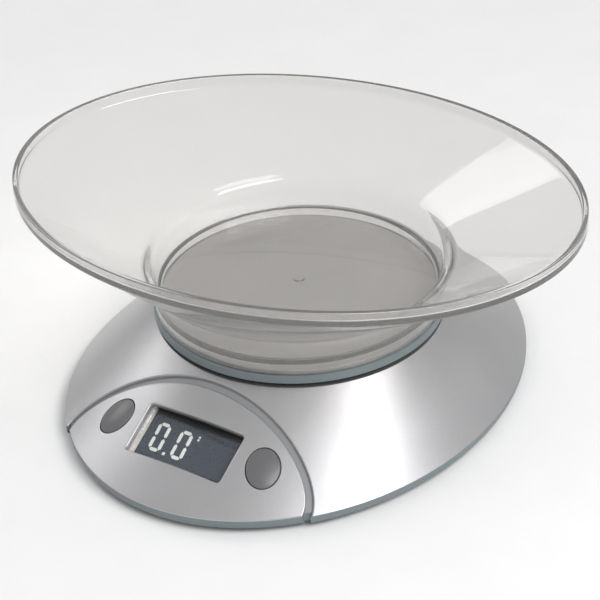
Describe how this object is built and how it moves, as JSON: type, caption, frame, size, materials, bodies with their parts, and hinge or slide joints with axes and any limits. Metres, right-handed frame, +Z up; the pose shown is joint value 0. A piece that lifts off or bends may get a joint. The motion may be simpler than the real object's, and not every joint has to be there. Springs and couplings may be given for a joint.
{
  "type": "kitchen scale",
  "caption": "Electronic kitchen scale: oval silver housing with a sloping display panel, round platform and a lift-off clear oval bowl.",
  "frame": {"origin": "on the table under the centre of the oval base", "axes": "+Z up, -Y towards the user and the display, +X to the user's right"},
  "size_m": [0.2466, 0.2284, 0.096],
  "materials": {
    "clear_bowl": "clear, polished",
    "platform_plastic": "fine texture",
    "plate_grey": "satin",
    "steel_carrier": "zinc-plated",
    "screw_steel": "zinc-plated",
    "spacer_aluminium": "machined",
    "beam_aluminium": "machined",
    "gauge_film": "thin film",
    "white_silicone": "soft sealant",
    "pan_plastic": "fine texture",
    "foot_rubber": "matt",
    "label_film": "satin film",
    "silver_cover": "satin silver paint",
    "silver_panel": "satin silver paint",
    "black_bezel": "satin",
    "window_clear": "clear, polished",
    "lcd": "dark reflective",
    "white_plastic": "satin",
    "zebra_rubber": "matt",
    "board_green": "solder mask",
    "black_resin": "glossy resin",
    "black_chip": "moulded",
    "capacitor_can": "can with a sleeve",
    "socket_plastic": "satin",
    "switch_black": "satin",
    "button_grey": "satin",
    "cell_jacket": "printed sleeve",
    "contact_plate": "nickel-plated",
    "lead_red": "insulated",
    "lead_black": "insulated"
  },
  "bodies": {
    "housing": {"base_pan": "pan_plastic", "top_cover": "silver_cover", "panel_frame": "pan_plastic", "control_panel": "silver_panel", "rubber_feet": "foot_rubber", "rating_label": "label_film", "housing_screws": "screw_steel", "load_beam": "beam_aluminium", "strain_gauges": "gauge_film", "gauge_potting": "white_silicone", "beam_base_screws": "screw_steel", "overload_stop": "screw_steel", "display_bezel": "black_bezel", "display_window": "window_clear", "lcd_glass": "lcd", "lcd_retainer": "white_plastic", "zebra_strip": "zebra_rubber", "main_board": "board_green", "board_screws": "screw_steel", "controller_chip": "black_resin", "converter_chip": "black_chip", "board_capacitors": "capacitor_can", "lead_sockets": "socket_plastic", "mode_switch": "switch_black", "power_switch": "switch_black", "battery_cells": "cell_jacket", "battery_contacts": "contact_plate", "battery_springs": "contact_plate", "sensor_leads": "lead_red", "battery_leads": "lead_black"},
    "platform": {"platform": "platform_plastic", "platform_plate": "plate_grey", "carrier": "steel_carrier", "carrier_screws": "screw_steel", "load_spacer": "spacer_aluminium", "beam_top_screws": "screw_steel"},
    "bowl": {"bowl": "clear_bowl"},
    "mode_button": {"mode_button": "button_grey", "mode_plunger": "switch_black"},
    "power_button": {"power_button": "button_grey", "power_plunger": "switch_black"},
    "battery_door": {"battery_door": "pan_plastic"}
  },
  "joints": [
    {"name": "platform_load", "type": "slide", "parent": "housing", "child": "platform", "axis": [0, 0, -1], "range_m": [0, 0.0005], "stiffness_N_per_m": 100000, "springref_m": -0.00003, "deforming": ["load_beam"]},
    {"name": "bowl_lift", "type": "slide", "parent": "platform", "child": "bowl", "axis": [0, 0, 1], "range_m": [0, 0.12]},
    {"name": "mode_button_press", "type": "slide", "parent": "housing", "child": "mode_button", "axis": [0, 0.4674, -0.8841], "range_m": [0, 0.0008], "stiffness_N_per_m": 1500, "springref_m": -0.0005},
    {"name": "power_button_press", "type": "slide", "parent": "housing", "child": "power_button", "axis": [0, 0.4674, -0.8841], "range_m": [0, 0.0008], "stiffness_N_per_m": 1500, "springref_m": -0.0005},
    {"name": "battery_door_swing", "type": "hinge", "parent": "housing", "child": "battery_door", "pos_m": [0, 0.05, 0.0028], "axis": [-1, 0, 0], "range_deg": [0, 95]}
  ]
}
